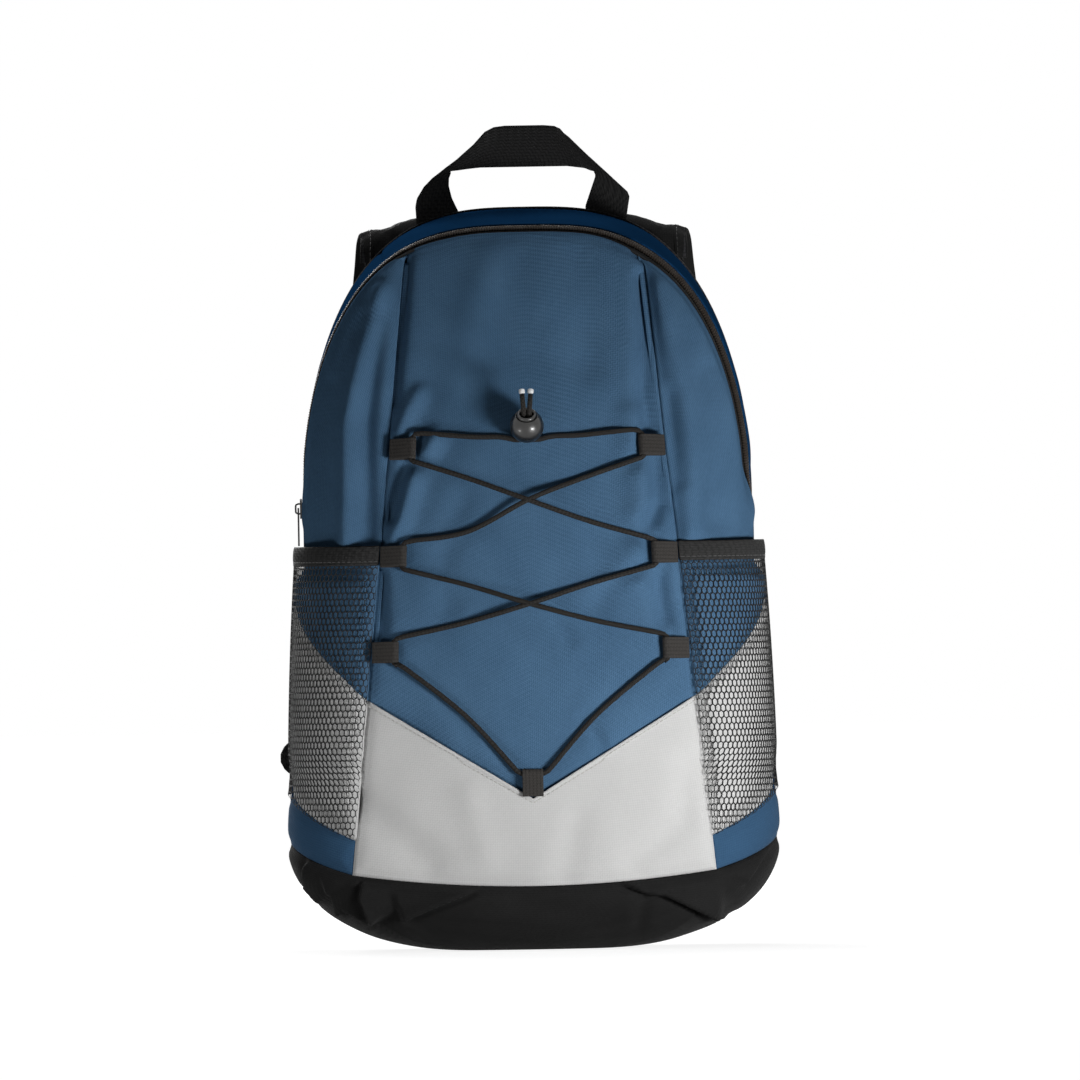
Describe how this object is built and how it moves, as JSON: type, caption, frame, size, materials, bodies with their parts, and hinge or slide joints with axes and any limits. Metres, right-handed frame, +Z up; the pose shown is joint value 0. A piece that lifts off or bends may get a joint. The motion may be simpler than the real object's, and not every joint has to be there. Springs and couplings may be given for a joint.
{
  "type": "daypack",
  "caption": "Soft fabric daypack with a zipped main bag, laced front, mesh side pockets, webbing grab handle and padded shoulder straps.",
  "frame": {"origin": "on the floor, in the flat part of the base, on the bag's left-right middle plane", "axes": "+Z up along the bag, -Y out of the laced front, +X to the right as seen from the front"},
  "size_m": [0.3078, 0.2032, 0.495],
  "materials": {
    "blue_fabric": "matt woven polyester",
    "navy_fabric": "matt woven polyester",
    "grey_fabric": "matt woven polyester",
    "black_fabric": "matt woven polyester",
    "black_webbing": "coarse woven webbing",
    "black_mesh": "open knitted mesh",
    "foam": "foam under spacer mesh",
    "elastic_cord": "braided sheath",
    "black_plastic": "moulded",
    "smoked_plastic": "glossy smoked",
    "cord_tip": "pale glossy",
    "spring_steel": "bright wire"
  },
  "bodies": {
    "bag": {"back_panel": "black_fabric", "back_foam": "foam", "back_lining": "navy_fabric", "front_panel_upper": "blue_fabric", "front_panel_lower": "grey_fabric", "left_side_front_panel": "blue_fabric", "right_side_front_panel": "blue_fabric", "left_side_grey_panel": "grey_fabric", "right_side_grey_panel": "grey_fabric", "left_side_strip": "blue_fabric", "right_side_strip": "blue_fabric", "left_side_gusset": "navy_fabric", "right_side_gusset": "navy_fabric", "zip_gusset": "navy_fabric", "zip_front_tape": "black_fabric", "zip_rear_tape": "black_fabric", "zip_front_coil": "black_plastic", "zip_rear_coil": "black_plastic", "base_panel": "black_fabric", "left_mesh_pocket": "black_mesh", "right_mesh_pocket": "black_mesh", "left_pocket_elastic": "black_webbing", "right_pocket_elastic": "black_webbing", "left_cord_loop_1": "black_webbing", "left_cord_loop_2": "black_webbing", "left_cord_loop_3": "black_webbing", "right_cord_loop_1": "black_webbing", "right_cord_loop_2": "black_webbing", "right_cord_loop_3": "black_webbing", "bottom_cord_loop": "black_webbing", "elastic_cord": "elastic_cord", "left_cord_tip": "cord_tip", "right_cord_tip": "cord_tip", "cord_lock_body": "smoked_plastic", "cord_lock_spring": "spring_steel", "left_handle_end": "black_webbing", "right_handle_end": "black_webbing", "left_anchor_tab": "black_webbing", "right_anchor_tab": "black_webbing"},
    "handle": {"grab_handle": "black_webbing"},
    "slider": {"zip_slider": "black_plastic"},
    "puller": {"zip_puller": "black_plastic"},
    "plunger": {"cord_lock_plunger": "black_plastic"},
    "left_strap": {"left_strap_cover": "black_fabric", "left_strap_pad": "foam", "left_strap_loop": "black_webbing"},
    "right_strap": {"right_strap_cover": "black_fabric", "right_strap_pad": "foam", "right_strap_loop": "black_webbing"},
    "left_buckle": {"left_ladder_lock": "black_plastic", "left_lower_webbing": "black_webbing"},
    "right_buckle": {"right_ladder_lock": "black_plastic", "right_lower_webbing": "black_webbing"}
  },
  "joints": [
    {"name": "handle_fold", "type": "hinge", "parent": "bag", "child": "handle", "pos_m": [0, 0.0633, 0.447], "axis": [1, 0, 0], "range_deg": [-15, 80]},
    {"name": "slider_travel", "type": "slide", "parent": "bag", "child": "slider", "axis": [0, 0, 1], "range_m": [0, 0.04]},
    {"name": "puller_tilt", "type": "hinge", "parent": "slider", "child": "puller", "pos_m": [-0.13792, -0.0034, 0.266], "axis": [0, 1, 0], "range_deg": [0, 150]},
    {"name": "plunger_press", "type": "slide", "parent": "bag", "child": "plunger", "axis": [0, 0.6428, -0.766], "range_m": [0, 0.003], "stiffness_N_per_m": 600, "springref_m": -0.002, "deforming": ["cord_lock_spring"]},
    {"name": "left_strap_swing", "type": "hinge", "parent": "bag", "child": "left_strap", "pos_m": [-0.06, 0.0675, 0.414], "axis": [1, 0, 0], "range_deg": [0, 14]},
    {"name": "right_strap_swing", "type": "hinge", "parent": "bag", "child": "right_strap", "pos_m": [0.06, 0.0675, 0.414], "axis": [1, 0, 0], "range_deg": [0, 14]},
    {"name": "left_buckle_swing", "type": "hinge", "parent": "left_strap", "child": "left_buckle", "pos_m": [-0.11805, 0.08387, 0.15675], "axis": [0.8708, -0.1555, -0.4665], "range_deg": [-22.4, 0]},
    {"name": "right_buckle_swing", "type": "hinge", "parent": "right_strap", "child": "right_buckle", "pos_m": [0.11805, 0.08387, 0.15675], "axis": [0.8708, 0.1555, 0.4665], "range_deg": [-22.4, 0]}
  ],
  "couplings": [
    {"joint": "left_buckle_swing", "follows": "left_strap_swing", "ratio": -1.6},
    {"joint": "right_buckle_swing", "follows": "right_strap_swing", "ratio": -1.6}
  ]
}
